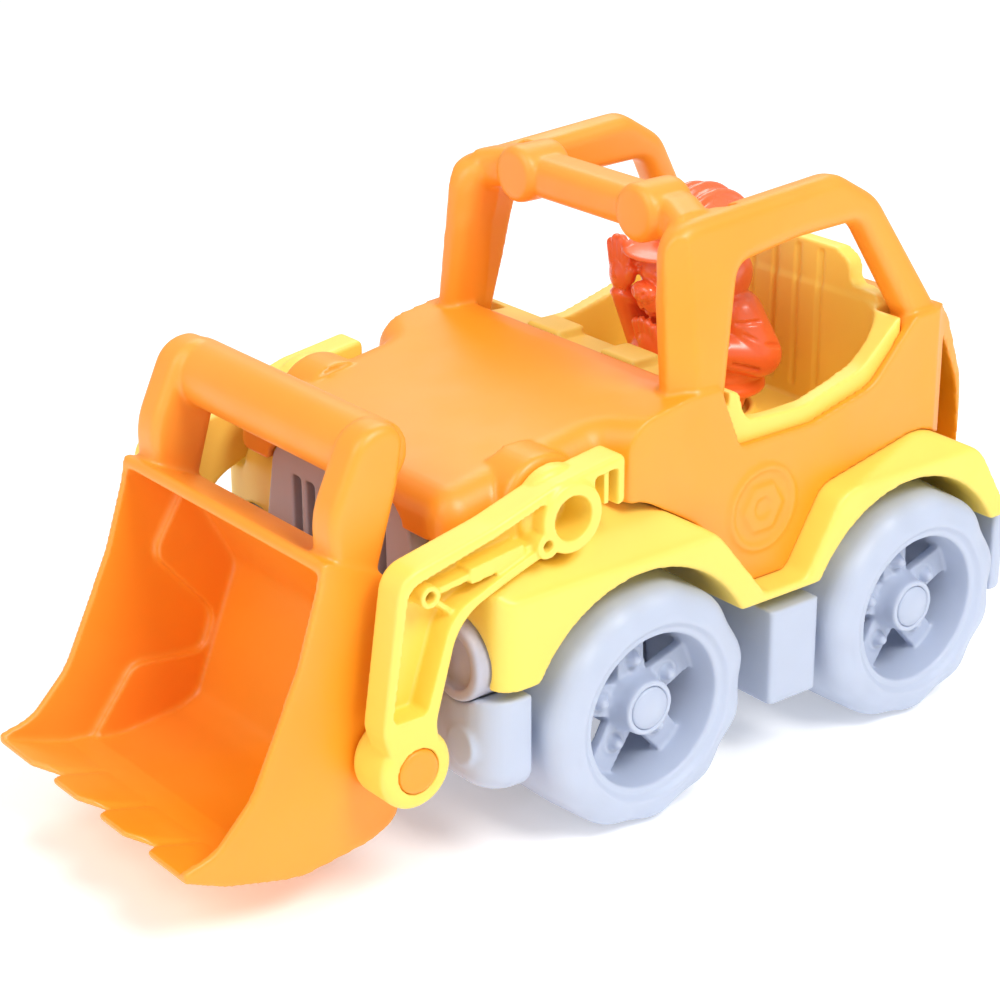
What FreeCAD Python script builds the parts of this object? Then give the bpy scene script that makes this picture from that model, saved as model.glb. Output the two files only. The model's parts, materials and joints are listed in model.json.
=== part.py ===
"""Toy front loader: a moulded plastic vehicle with lifting arms and a tipping scoop.

Frame: millimetres, +Z up, -Y is the front (the scoop end), +X is the vehicle's left side.
The origin is on the ground, midway between the outer faces, under the middle of the whole length.
"""
import FreeCAD, Part
import Sketcher
import math
import os

Vector = FreeCAD.Vector
Rotation = FreeCAD.Rotation
Placement = FreeCAD.Placement

LEFT = 1
RIGHT = -1

doc = FreeCAD.newDocument("toy_front_loader")

# ---------------------------------------------------------------- driving dimensions

DRIVING = [
    ("wheel_radius", 36.0, "tyre outside radius, also the axle height"),
    ("wheel_inner_x", 35.0, "inner face of a wheel from the middle plane"),
    ("wheel_outer_x", 70.0, "outer face of a wheel from the middle plane"),
    ("front_axle_y", -7.2, "front axle from the origin"),
    ("wheelbase", 104.4, "distance between the axles"),
    ("axle_radius", 4.0, "plastic axle radius"),
    ("hub_radius", 8.0, "outside of the hub barrel"),
    ("cap_radius", 6.2, "domed hub cap"),
    ("spoke_count", 5, "spokes in a wheel"),
    ("run_gap", 0.06, "radial clearance of a turning fit"),
    ("part_gap", 0.2, "gap between neighbouring mouldings"),
    ("wall", 2.6, "moulded wall thickness"),
    ("cab_half_width", 57.0, "half width of the cab sides"),
    ("hood_half_width", 50.0, "half width of the hood"),
    ("fender_half_width", 66.0, "half width over the fenders"),
    ("arch_radius", 41.0, "wheel arch radius in the fenders"),
    ("front_face_y", -65.0, "front of the hood"),
    ("cowl_y", 16.0, "ridge where the hood meets the cab"),
    ("cowl_z", 119.0, "height of that ridge"),
    ("sill_z", 100.0, "door sill height"),
    ("deck_z", 55.0, "underside of the fenders, top of the chassis"),
    ("belly_z", 24.0, "underside of the chassis"),
    ("cage_top_z", 167.5, "top of the roll cage"),
    ("cage_lean", 7.7, "inward lean of the roll cage sides, degrees"),
    ("cage_width", 10.5, "thickness of a roll cage side"),
    ("tub_floor_z", 86.0, "cockpit floor"),
    ("arm_pivot_y", -34.0, "arm pivot on the hood"),
    ("arm_pivot_z", 99.3, "arm pivot height"),
    ("arm_inner_x", 54.0, "inner face of an arm"),
    ("arm_outer_x", 64.0, "outer face of an arm"),
    ("pivot_stub_radius", 8.0, "hollow arm stub that turns in the hood boss"),
    ("scoop_pivot_y", -84.4, "scoop pivot in the arm ends"),
    ("scoop_pivot_z", 42.0, "scoop pivot height"),
    ("scoop_pin_radius", 6.3, "trunnion on each side of the scoop"),
    ("arm_end_radius", 11.0, "round lower end of an arm"),
    ("scoop_half_width", 48.5, "half width of the scoop"),
    ("scoop_wall", 2.8, "scoop wall thickness"),
    ("tooth_pitch", 24.3, "spacing of the scoop's cutting teeth"),
    ("rivet_radius", 3.0, "push rivet stem"),
]

sheet = doc.addObject("Spreadsheet::Sheet", "Dimensions")
for row, (alias, number, meaning) in enumerate(DRIVING, 1):
    sheet.set(f"A{row}", meaning)
    sheet.set(f"B{row}", str(number))
    sheet.setAlias(f"B{row}", alias)
doc.recompute()


def size(alias):
    """A driving dimension, read back from the sheet."""
    return float(sheet.get(alias))


# ---------------------------------------------------------------- drawing helpers

def new_body(label):
    body = doc.addObject("PartDesign::Body", label)
    body.Label = label
    return body


def sketch_on(body, name, role, offset="0"):
    """A sketch on one of the body's own origin planes, moved along its normal by offset."""
    sketch = body.newObject("Sketcher::SketchObject", name)
    plane = next(item for item in body.Origin.OriginFeatures if item.Role == role)
    sketch.AttachmentSupport = [(plane, "")]
    sketch.MapMode = "FlatFace"
    sketch.setExpression(".AttachmentOffset.Base.z", offset)
    return sketch


def side_sketch(body, name, offset="0"):
    """Drawn in (y, z); offset is along +X."""
    return sketch_on(body, name, "YZ_Plane", offset)


def plan_sketch(body, name, offset="0"):
    """Drawn in (x, y); offset is along +Z."""
    return sketch_on(body, name, "XY_Plane", offset)


def front_sketch(body, name, offset="0"):
    """Drawn in (x, z); offset is along -Y."""
    return sketch_on(body, name, "XZ_Plane", offset)


def turning_sketch(body, name, y, z):
    """Drawn in (x, radius); its horizontal axis runs along X through (y, z)."""
    sketch = sketch_on(body, name, "XZ_Plane", f"{-y}")
    sketch.setExpression(".AttachmentOffset.Base.y", f"{z}")
    return sketch


def rounding(before, corner, after, radius):
    """Start, middle and end of the arc that rounds a corner."""
    one = (before - corner).normalize()
    two = (after - corner).normalize()
    half = one.getAngle(two) / 2
    reach = radius / math.tan(half)
    inward = (one + two).normalize()
    middle = corner + inward * (radius / math.sin(half) - radius)
    return corner + one * reach, middle, corner + two * reach


def outline(sketch, corners):
    """A closed outline; a corner given as (u, v, r) is rounded with radius r."""
    points = [Vector(corner[0], corner[1], 0) for corner in corners]
    count = len(corners)
    entries, exits = [], []
    for i, corner in enumerate(corners):
        if len(corner) == 2:
            entries.append(points[i])
            exits.append(points[i])
            continue
        arc = rounding(points[i - 1], points[i], points[(i + 1) % count], corner[2])
        sketch.addGeometry(Part.Arc(*arc), False)
        entries.append(arc[0])
        exits.append(arc[2])
    for i in range(count):
        start, end = exits[i], entries[(i + 1) % count]
        if start.distanceToPoint(end) > 1e-6:
            sketch.addGeometry(Part.LineSegment(start, end), False)


def circle(sketch, u, v, radius):
    """A circle whose radius follows an expression."""
    index = sketch.addGeometry(Part.Circle(Vector(u, v, 0), Vector(0, 0, 1), 1.0), False)
    name = f"radius{index}"
    constraint = sketch.addConstraint(Sketcher.Constraint("Radius", index, 1.0))
    sketch.renameConstraint(constraint, name)
    sketch.setExpression(f"Constraints.{name}", radius)


def mirrored(corners):
    """The same outline on the other side of the vertical axis."""
    return [(-corner[0],) + tuple(corner[1:]) for corner in corners]


def both_sides(corners):
    """A symmetric closed outline from its right half, listed bottom to top."""
    return list(corners) + mirrored(corners)[::-1]


# ---------------------------------------------------------------- feature helpers

def pad(body, sketch, name, length, symmetric=False, reverse=False):
    feature = body.newObject("PartDesign::Pad", name)
    feature.Profile = sketch
    feature.SideType = "Symmetric" if symmetric else "One side"
    feature.Reversed = reverse
    feature.setExpression("Length", length)
    doc.recompute()
    return settled(body, feature)


def pocket(body, sketch, name, length, symmetric=False, reverse=False):
    before = body.Shape.Volume
    feature = body.newObject("PartDesign::Pocket", name)
    feature.Profile = sketch
    feature.SideType = "Symmetric" if symmetric else "One side"
    feature.Reversed = reverse
    feature.setExpression("Length", length)
    doc.recompute()
    if body.Shape.Volume >= before - 1e-6:
        raise RuntimeError(f"{body.Label}: pocket {name} cut nothing")
    return settled(body, feature)


def settled(body, feature):
    """The feature itself, once it is known to have worked."""
    if any(word in feature.State for word in ("Invalid", "Error")) or body.Shape.isNull():
        raise RuntimeError(f"{body.Label}: {feature.Name} failed, {feature.State}")
    return feature


def revolve(body, sketch, name):
    """A full turn about the sketch's horizontal axis."""
    feature = body.newObject("PartDesign::Revolution", name)
    feature.Profile = sketch
    feature.ReferenceAxis = (sketch, ["H_Axis"])
    feature.Angle = 360
    doc.recompute()
    return settled(body, feature)


def round_edges(body, name, radius, wanted):
    """Fillet the edges of the body so far that the test picks."""
    base = body.Tip
    chosen = [f"Edge{i}" for i, edge in enumerate(base.Shape.Edges, 1) if wanted(edge)]
    if not chosen:
        raise RuntimeError(f"{body.Label}: {name} found no edge")
    feature = body.newObject("PartDesign::Fillet", name)
    feature.Base = (base, chosen)
    feature.setExpression("Radius", radius)
    doc.recompute()
    return settled(body, feature)


def mirror_features(body, name, features):
    feature = body.newObject("PartDesign::Mirrored", name)
    feature.Originals = features
    plane = next(item for item in body.Origin.OriginFeatures if item.Role == "YZ_Plane")
    feature.MirrorPlane = (plane, [""])
    body.Tip = feature
    doc.recompute()
    return settled(body, feature)


def repeat_round_x(body, name, features, count):
    """Repeat features around the body's own X axis."""
    feature = body.newObject("PartDesign::PolarPattern", name)
    feature.Originals = features
    axis = next(item for item in body.Origin.OriginFeatures if item.Role == "X_Axis")
    feature.Axis = (axis, [""])
    feature.Angle = 360
    feature.setExpression("Occurrences", count)
    body.Tip = feature
    doc.recompute()
    return settled(body, feature)


def box_of(edge):
    return edge.BoundBox


# ---------------------------------------------------------------- shared outlines

def front_axle_y():
    return size("front_axle_y")


def rear_axle_y():
    return size("front_axle_y") + size("wheelbase")


def fender_top_line():
    """The line, front to rear, where the orange shell meets the fenders, as (y, z) corners."""
    front, rear, deck = front_axle_y(), rear_axle_y(), size("deck_z")
    return [
        (front + 4, deck + 38.5, 20),
        (front + 25, deck + 25.6, 18),
        (front + 43.5, deck + 2.8, 4),
        (rear - 45, deck + 2.8, 4),
        (rear - 31.5, deck + 25, 8),
        (rear + 9, deck + 33.5, 18),
        (rear + 27, deck + 24, 14),
        (rear + 41, deck + 1),
    ]


def door_line():
    """Top edge of the cab side, from the cowl over the door sill to the rear deck."""
    cowl, sill = size("cowl_y"), size("sill_z")
    return [
        (cowl + 9, size("cowl_z"), 3),
        (cowl + 17, sill, 3),
        (cowl + 44, sill, 30),
        (cowl + 69, sill + 6, 14),
        (cowl + 85.5, sill + 23.5, 3),
    ]


# ---------------------------------------------------------------- chassis and fenders

def chassis_pan():
    """Grey belly tray with both bumpers, the side steps and the axle bosses."""
    body = new_body("chassis_pan")
    belly, deck = size("belly_z"), size("deck_z") - size("part_gap")
    tray_half = size("wheel_inner_x") - 2
    front_y, rear_y = size("front_face_y") + 8, rear_axle_y() + 41
    tray = plan_sketch(body, "tray_outline", "Dimensions.belly_z")
    outline(tray, both_sides([(tray_half, front_y), (tray_half, rear_y, 6)]))
    pad(body, tray, "tray", "Dimensions.deck_z - Dimensions.part_gap - Dimensions.belly_z")

    step_width = 18.5
    step_y = (front_axle_y() + rear_axle_y()) / 2 - 5.5
    steps = plan_sketch(body, "step_outline", "Dimensions.belly_z - 3")
    for side in (RIGHT, LEFT):
        near, far = side * (tray_half - 3), side * (size("fender_half_width") - 0.5)
        outline(steps, [(near, step_y), (far, step_y, 1.5),
                        (far, step_y + step_width, 1.5), (near, step_y + step_width)])
    pad(body, steps, "side_steps", "29.5")

    bumper_back = size("front_face_y") + 18.5
    bumper = plan_sketch(body, "front_bumper_outline", "Dimensions.belly_z - 0.5")
    outline(bumper, both_sides([(63.5, bumper_back), (63.5, size("front_face_y") + 3.5, 11)]))
    pad(body, bumper, "front_bumper", "28.3")

    rear_bumper = plan_sketch(body, "rear_bumper_outline", "Dimensions.belly_z + 4")
    outline(rear_bumper, both_sides([(62, rear_y - 1.5), (62, rear_y + 7.6, 8)]))
    pad(body, rear_bumper, "rear_bumper", "26.4")

    def lower_front(edge):
        box = box_of(edge)
        return box.YMax < bumper_back - 1 and box.ZMax < belly - 0.4 and box.YMin < -60
    round_edges(body, "bumper_chin", "7", lower_front)

    wall = size("wall")
    hollow = plan_sketch(body, "tray_hollow_outline", "Dimensions.belly_z + Dimensions.wall")
    outline(hollow, both_sides([(tray_half - wall, front_y + wall), (tray_half - wall, rear_y - wall, 4)]))
    pocket(body, hollow, "tray_hollow", "60", reverse=True)

    posts = plan_sketch(body, "rivet_post_outline", "Dimensions.belly_z")
    for x, y in rivet_places():
        circle(posts, x, y, "Dimensions.rivet_radius + 3.2")
    pad(body, posts, "rivet_posts", "Dimensions.deck_z - Dimensions.part_gap - Dimensions.belly_z")

    holes = plan_sketch(body, "rivet_holes_outline", "Dimensions.belly_z")
    heads = plan_sketch(body, "rivet_seats_outline", "Dimensions.belly_z")
    for x, y in rivet_places():
        circle(holes, x, y, "Dimensions.rivet_radius + 0.1")
        circle(heads, x, y, "Dimensions.rivet_radius + 2.1")
    pocket(body, holes, "rivet_holes", "60", reverse=True)
    pocket(body, heads, "rivet_seats", "2", reverse=True)

    bosses = side_sketch(body, "axle_boss_outline")
    for y in (front_axle_y(), rear_axle_y()):
        circle(bosses, y, size("wheel_radius"), "Dimensions.axle_radius + 4")
    pad(body, bosses, "axle_bosses", "Dimensions.wheel_inner_x * 2 - 2.4", symmetric=True)
    bores = side_sketch(body, "axle_bore_outline")
    for y in (front_axle_y(), rear_axle_y()):
        circle(bores, y, size("wheel_radius"), "Dimensions.axle_radius + 0.02")
    pocket(body, bores, "axle_bores", "90", symmetric=True)

    seats = front_sketch(body, "lamp_seat_outline", "-Dimensions.front_face_y")
    for side in (RIGHT, LEFT):
        circle(seats, side * lamp_x(), lamp_z(), "11.7")
    pocket(body, seats, "lamp_seats", "19")

    buttons = front_sketch(body, "bumper_button_outline", "-Dimensions.front_face_y - 3.5")
    for side in (RIGHT, LEFT):
        circle(buttons, side * 52, 37, "5.6")
    pad(body, buttons, "bumper_buttons", "0.7")
    return body


def rivet_places():
    """Push rivets: two in front of the front axle, two behind the seat."""
    front, rear = front_axle_y() - 34, rear_axle_y() + 20
    return [(side * 24, y) for y in (front, rear) for side in (RIGHT, LEFT)]


def fender_frame():
    """Yellow moulding with four fenders, running boards and the panels beside the grille."""
    body = new_body("fender_frame")
    deck, wall = size("deck_z"), size("wall")
    front, rear = front_axle_y(), rear_axle_y()
    nose = size("front_face_y") + 6
    arch = size("arch_radius")
    side = side_sketch(body, "fender_side")
    outline(side, [(nose, deck), (nose, deck + 38.5, 9)] + fender_top_line() + [(rear + 42, deck)])
    pad(body, side, "fender_block", "Dimensions.fender_half_width * 2", symmetric=True)

    half = size("fender_half_width")
    shoulder = front_sketch(body, "shoulder_slope")
    for sign in (RIGHT, LEFT):
        outline(shoulder, [(sign * (half + 8), deck + 26), (sign * (half - 1), deck + 26, 4),
                           (sign * (half - 8), deck + 32.5, 12), (sign * 46, deck + 39),
                           (sign * 46, deck + 50), (sign * (half + 8), deck + 50)])
    pocket(body, shoulder, "shoulders", "400", symmetric=True)

    corners = plan_sketch(body, "nose_corner_outline", "Dimensions.deck_z - 5")
    for sign in (RIGHT, LEFT):
        outline(corners, [(sign * (half - 15), nose - 6), (sign * (half - 15), nose), (sign * half, nose, 7),
                          (sign * half, nose + 18), (sign * (half + 8), nose + 18), (sign * (half + 8), nose - 6)])
    pocket(body, corners, "nose_corners", "60", reverse=True)

    for name, start, outward in (("left", "Dimensions.wheel_inner_x - 2", True),
                                 ("right", "2 - Dimensions.wheel_inner_x", False)):
        arches = side_sketch(body, f"{name}_arch_outline", start)
        circle(arches, front - 2, size("wheel_radius"), "Dimensions.arch_radius")
        circle(arches, rear - 3, size("wheel_radius"), "Dimensions.arch_radius")
        pocket(body, arches, f"{name}_arches", "60", reverse=outward)

    top = side_sketch(body, "inside_outline")
    outline(top, [(nose + wall, deck + 4), (nose + wall, deck + 60), (rear + 60, deck + 60),
                  (rear + 36, deck + 4)])
    pocket(body, top, "middle_opening", "(Dimensions.wheel_inner_x - 2 - Dimensions.wall) * 2", symmetric=True)

    liner = side_sketch(body, "liner_top_outline")
    for start, end in ((nose + 5, front + 13), (rear - 24, rear + 20)):
        outline(liner, [(start, deck + 25), (end, deck + 25), (end, deck + 60), (start, deck + 60)])
    pocket(body, liner, "liner_hollow", "(Dimensions.hood_half_width - 3.2) * 2", symmetric=True)
    seat = side_sketch(body, "tub_seat_outline")
    seat_z = size("tub_floor_z") - wall - size("part_gap")
    outline(seat, [(rear - 45, seat_z), (rear + 9, seat_z), (rear + 9, seat_z + 40), (rear - 45, seat_z + 40)])
    pocket(body, seat, "tub_seat", "(Dimensions.cab_half_width - Dimensions.wall) * 2", symmetric=True)
    boss = side_sketch(body, "boss_clearance_outline")
    circle(boss, size("arm_pivot_y"), size("arm_pivot_z"), "Dimensions.pivot_stub_radius + 6.2")
    pocket(body, boss, "boss_clearance", "Dimensions.fender_half_width * 2 + 4", symmetric=True)
    arm_clearance(body, nose)

    grille_gap = front_sketch(body, "grille_opening", "-Dimensions.front_face_y")
    outline(grille_gap, grille_corners(size("part_gap")))
    pocket(body, grille_gap, "grille_opening_cut", "12")

    lamps = front_sketch(body, "lamp_well_outline", "-Dimensions.front_face_y")
    for sign in (RIGHT, LEFT):
        circle(lamps, sign * lamp_x(), lamp_z(), "11.7")
    pocket(body, lamps, "lamp_wells", "16")

    rivets = plan_sketch(body, "rivet_outline", "Dimensions.deck_z - 2")
    for x, y in rivet_places():
        circle(rivets, x, y, "Dimensions.rivet_radius + 0.1")
    pocket(body, rivets, "rivet_holes", "30", reverse=True)
    return body


def arm_clearance(body, nose):
    """A shallow relief in each fender top under the elbow of the lifting arm."""
    py, deck = size("arm_pivot_y"), size("deck_z")
    for name, start, outward in (("left", "Dimensions.arm_inner_x - 0.4", True),
                                 ("right", "0.4 - Dimensions.arm_inner_x", False)):
        relief = side_sketch(body, f"{name}_relief_outline", start)
        outline(relief, [(nose - 4, deck + 27), (py - 17, deck + 30.2, 20), (py + 2, deck + 33, 8),
                         (py + 9, deck + 42), (nose - 4, deck + 42)])
        pocket(body, relief, f"{name}_relief", "30", reverse=outward)


def lamp_x():
    return 49.0


def lamp_z():
    return size("deck_z") + 6


def grille_corners(gap):
    """Tapered grille outline with rounded top corners, grown outwards by gap."""
    deck = size("deck_z")
    return both_sides([(36 + gap, deck - 1), (35.5 + gap, deck + 20), (30.6 + gap, deck + 45 + gap, 8)])


def grille():
    """Grey radiator box with deep upright slots."""
    body = new_body("grille")
    face = front_sketch(body, "grille_outline", "-Dimensions.front_face_y - 11")
    corners = grille_corners(0)
    floor = size("deck_z") + size("part_gap")
    outline(face, [(36, floor), corners[1], corners[2], corners[3], corners[4], (-36, floor)])
    pad(body, face, "grille_block", "9.4")
    slots = front_sketch(body, "slot_outline", "-Dimensions.front_face_y - 1.6")
    pitch, width, count = 6.6, 4.3, 7
    for i in range(count):
        middle = (i - (count - 1) / 2) * pitch
        outline(slots, [(middle - width / 2, 58), (middle + width / 2, 58),
                        (middle + width / 2, 92, 0.8), (middle - width / 2, 92, 0.8)])
    pocket(body, slots, "slots", "8")
    return body


def headlight(label, side):
    """Grey lamp bucket: a broad rounded ring around a recessed, slightly domed lens."""
    body = new_body(label)
    section = sketch_on(body, "lamp_section", "XY_Plane")
    outline(section, [(0, 0), (11, 0), (11, 11.4, 1.5), (0, 11.4)])
    revolve(body, section, "lamp_body")
    recess = sketch_on(body, "lens_section", "XY_Plane")
    outline(recess, [(9.2, 0), (12, 0), (12, 8.8), (11, 8.3), (8.6, 7.7, 0.6)])
    groove = body.newObject("PartDesign::Groove", "lens_recess")
    groove.Profile = recess
    groove.ReferenceAxis = (recess, ["H_Axis"])
    groove.Angle = 360
    doc.recompute()
    body.Placement = Placement(Vector(side * lamp_x(), size("front_face_y") + 13.5, lamp_z()),
                               Rotation(Vector(0, 0, 1), -90))
    return body


# ---------------------------------------------------------------- wheels and axles

def axle(label, y):
    body = new_body(label)
    face = side_sketch(body, "axle_outline")
    circle(face, 0, 0, "Dimensions.axle_radius")
    pad(body, face, "axle_rod", "(Dimensions.wheel_outer_x - 6.6) * 2", symmetric=True)
    round_edges(body, "axle_ends", "0.5", lambda edge: edge.Curve.TypeId == "Part::GeomCircle")
    body.Placement = Placement(Vector(0, y, size("wheel_radius")), Rotation())
    return body


def wheel_place(side, y):
    """Wheels are drawn on the +X side; the right-hand ones are turned half a turn."""
    turn = Rotation(Vector(0, 0, 1), 0 if side == LEFT else 180)
    return Placement(Vector(0, y, size("wheel_radius")), turn)


def wheel(label, side, y):
    """One-piece wheel: fat tyre, deep dish, five flat spokes with lug bumps, hub barrel."""
    body = new_body(label)
    inner, outer, radius = size("wheel_inner_x"), size("wheel_outer_x"), size("wheel_radius")
    hub, bore = size("hub_radius"), size("axle_radius") + size("run_gap")
    web = outer - 13.5
    section = sketch_on(body, "tyre_section", "XY_Plane")
    outline(section, [
        (inner, radius - 4.5), (inner, radius, 3.5), (outer, radius, 8.4), (outer, radius - 10, 1.4),
        (outer - 2.2, radius - 12.2, 0.8), (outer - 1.5, radius - 13.1, 0.6), (outer - 1.9, radius - 14, 0.6),
        (web, radius - 16), (web - 3, radius - 16), (web - 3, radius - 12.5, 2),
        (outer - 10, radius - 9, 3), (outer - 10, radius - 4.5, 2)])
    revolve(body, section, "tyre")
    barrel = sketch_on(body, "hub_section", "XY_Plane")
    outline(barrel, [(inner, bore), (outer - 8.5, bore), (outer - 8.5, size("cap_radius") + 0.15),
                     (outer - 3.8, size("cap_radius") + 0.15), (outer - 3.8, hub, 0.8), (inner, hub)])
    revolve(body, barrel, "hub")
    disc = sketch_on(body, "web_section", "XY_Plane")
    outline(disc, [(web - 3, hub - 0.5), (web + 0.8, hub - 0.5), (web, radius - 15.4), (web - 3, radius - 15.4)])
    revolve(body, disc, "web")

    spoke = 2 * math.pi / size("spoke_count")
    half_spoke = 4.0
    r_in, r_out = hub + 1.2, radius - 16.6

    def at(radial, clear):
        """A point beside a spoke, at a radius and a distance from the spoke's middle line."""
        reach = math.sqrt(radial ** 2 - clear ** 2)
        return reach, clear
    window = side_sketch(body, "window_outline", "Dimensions.wheel_outer_x - 40")
    low, high = at(r_in, half_spoke), at(r_out, half_spoke + 0.8)

    def turned(point):
        """The same point beside the next spoke."""
        u, v = point[0], -point[1]
        return u * math.cos(spoke) - v * math.sin(spoke), u * math.sin(spoke) + v * math.cos(spoke)
    corners = [low, high, turned(high), turned(low)]
    start, end = Vector(*high, 0), Vector(*turned(high), 0)
    middle = Vector(r_out * math.cos(spoke / 2), r_out * math.sin(spoke / 2), 0)
    inner_mid = Vector(r_in * math.cos(spoke / 2), r_in * math.sin(spoke / 2), 0)
    window.addGeometry(Part.Arc(start, middle, end), False)
    window.addGeometry(Part.Arc(Vector(*turned(low), 0), inner_mid, Vector(*low, 0)), False)
    window.addGeometry(Part.LineSegment(Vector(*corners[0], 0), start), False)
    window.addGeometry(Part.LineSegment(end, Vector(*corners[3], 0)), False)
    cut = pocket(body, window, "window", "60", reverse=True)
    repeat_round_x(body, "windows", [cut], "Dimensions.spoke_count")

    lug_ring = side_sketch(body, "lug_ring_outline", "Dimensions.wheel_outer_x - 14")
    circle(lug_ring, 13.4, 0, "3.4")
    ring = pad(body, lug_ring, "lug_seat", "1.9")
    repeat_round_x(body, "lug_seats", [ring], "Dimensions.spoke_count")
    lug = side_sketch(body, "lug_outline", "Dimensions.wheel_outer_x - 14")
    circle(lug, 13.4, 0, "1.7")
    bump = pad(body, lug, "lug", "4.4")
    repeat_round_x(body, "lugs", [bump], "Dimensions.spoke_count")

    def lug_tip(edge):
        curve = edge.Curve
        tip = edge.CenterOfMass.x > outer - 9.8
        return curve.TypeId == "Part::GeomCircle" and abs(curve.Radius - 1.7) < 0.01 and tip
    round_edges(body, "lug_rounding", "1.3", lug_tip)
    body.Placement = wheel_place(side, y)
    return body


def hub_cap(label, side, y):
    """Domed disc pressed on the end of the axle; it keeps the wheel on."""
    body = new_body(label)
    outer, cap = size("wheel_outer_x"), size("cap_radius")
    socket = size("axle_radius") + 0.02
    section = sketch_on(body, "cap_section", "XY_Plane")
    edge_x, crown_x = outer - 3.9, outer - 1.9
    rim = Vector(edge_x, cap, 0)
    crown = Vector(crown_x, 0, 0)
    bulge = (crown_x - edge_x)
    dome = (cap ** 2 + bulge ** 2) / (2 * bulge)
    angle = math.asin(cap / dome) / 2
    middle = Vector(crown_x - dome + dome * math.cos(angle), dome * math.sin(angle), 0)
    section.addGeometry(Part.Arc(rim, middle, crown), False)
    path = [crown, Vector(outer - 6.4, 0, 0), Vector(outer - 6.4, socket, 0), Vector(outer - 8.2, socket, 0),
            Vector(outer - 8.2, cap, 0), rim]
    for one, two in zip(path, path[1:]):
        section.addGeometry(Part.LineSegment(one, two), False)
    revolve(body, section, "cap")
    body.Placement = wheel_place(side, y)
    return body


# ---------------------------------------------------------------- orange body shell

def shell_body():
    """Hood and cab in one thin moulding, open below and over the cockpit."""
    body = new_body("hood_and_cab")
    front, deck = size("front_face_y"), size("deck_z")
    cowl_y, cowl_z, wall = size("cowl_y"), size("cowl_z"), size("wall")
    half, hood = size("cab_half_width"), size("hood_half_width")
    rear = rear_axle_y() + 41.5
    tail = [(rear - 24, size("sill_z") + 24.5), (rear - 17, size("sill_z") + 18, 12),
            (rear - 7, size("sill_z") - 3, 30), (rear, deck + 14, 30), (rear, deck)]
    hood_top = [(front, deck), (front, deck + 51, 9), (cowl_y - 2, cowl_z)]
    side = side_sketch(body, "outer_side")
    outline(side, hood_top + [(cowl_y, cowl_z)] + door_line() + tail)
    pad(body, side, "outer_block", "Dimensions.cab_half_width * 2", symmetric=True)

    cab_y = front_axle_y() - 0.5
    flare = plan_sketch(body, "hood_plan", "Dimensions.deck_z - 5")
    for sign in (RIGHT, LEFT):
        outline(flare, [(sign * hood, front - 5), (sign * hood, cab_y - 4, 3), (sign * half, cab_y),
                        (sign * (half + 6), cab_y), (sign * (half + 6), front - 5)])
    pocket(body, flare, "hood_sides", "90", reverse=True)

    rear_plan = plan_sketch(body, "rear_plan", "Dimensions.deck_z - 5")
    for sign in (RIGHT, LEFT):
        outline(rear_plan, [(sign * half, rear - 38, 30), (sign * (half - 9), rear - 4, 10),
                            (sign * (half - 25), rear + 2), (sign * (half + 6), rear + 2),
                            (sign * (half + 6), rear - 38)])
    pocket(body, rear_plan, "rear_corners", "120", reverse=True)

    def shoulder(edge):
        box = box_of(edge)
        outside = min(abs(box.XMin), abs(box.XMax)) > hood - 0.6
        return outside and box.YMax < cab_y - 4 and box.ZMin > deck + 45 and box.YMax - box.YMin > 20
    round_edges(body, "hood_shoulders", "9", shoulder)

    narrow = side_sketch(body, "hood_inside")
    outline(narrow, [(front + wall, deck - 1), (front + wall, deck + 49, 6), (cowl_y, cowl_z - wall),
                     (cowl_y, deck - 1)])
    pocket(body, narrow, "hood_hollow", "(Dimensions.hood_half_width - 8) * 2", symmetric=True)
    low = side_sketch(body, "hood_inside_low")
    outline(low, [(front + wall, deck - 1), (front + wall, deck + 38), (cowl_y, cowl_z - 14),
                  (cowl_y, deck - 1)])
    pocket(body, low, "hood_hollow_low", "(Dimensions.hood_half_width - Dimensions.wall) * 2", symmetric=True)

    cab = side_sketch(body, "cab_inside")
    outline(cab, [(cowl_y - 4, deck - 1), (cowl_y - 4, cowl_z - wall), (cowl_y + 4, cowl_z - wall),
                  (cowl_y + 4, cowl_z + 20), (rear - 32.5, cowl_z + 20), (rear - 32.5, size("sill_z") + 21.5),
                  (rear - 25, size("sill_z") + 21.5, 8), (rear - 9.6, size("sill_z") - 4, 20),
                  (rear - 2.8, deck + 12, 20), (rear - 2.8, deck - 1)])
    pocket(body, cab, "cab_hollow", "(Dimensions.cab_half_width - Dimensions.wall - 2) * 2", symmetric=True)
    sides = side_sketch(body, "cab_side_inside")
    outline(sides, [(cab_y + 3, deck - 1), (cab_y + 3, cowl_z - 14), (cowl_y + 4, cowl_z - 14),
                    (cowl_y + 4, cowl_z + 20), (rear - 40, cowl_z + 20), (rear - 40, deck - 1)])
    pocket(body, sides, "cab_side_hollow", "(Dimensions.cab_half_width - Dimensions.wall) * 2", symmetric=True)

    saddle = side_sketch(body, "saddle")
    gap = size("part_gap")
    fender = [(y, z + gap) + tuple(r) for y, z, *r in fender_top_line()]
    outline(saddle, [(front - 5, deck - 2), (front - 5, deck + 38.5 + gap)] + fender + [(rear + 5, deck - 2)])
    pocket(body, saddle, "saddle_cut", "200", symmetric=True)

    opening = front_sketch(body, "grille_opening", "-Dimensions.front_face_y - 12")
    outline(opening, grille_corners(gap))
    pocket(body, opening, "grille_opening_cut", "20", reverse=True)
    return body


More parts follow.
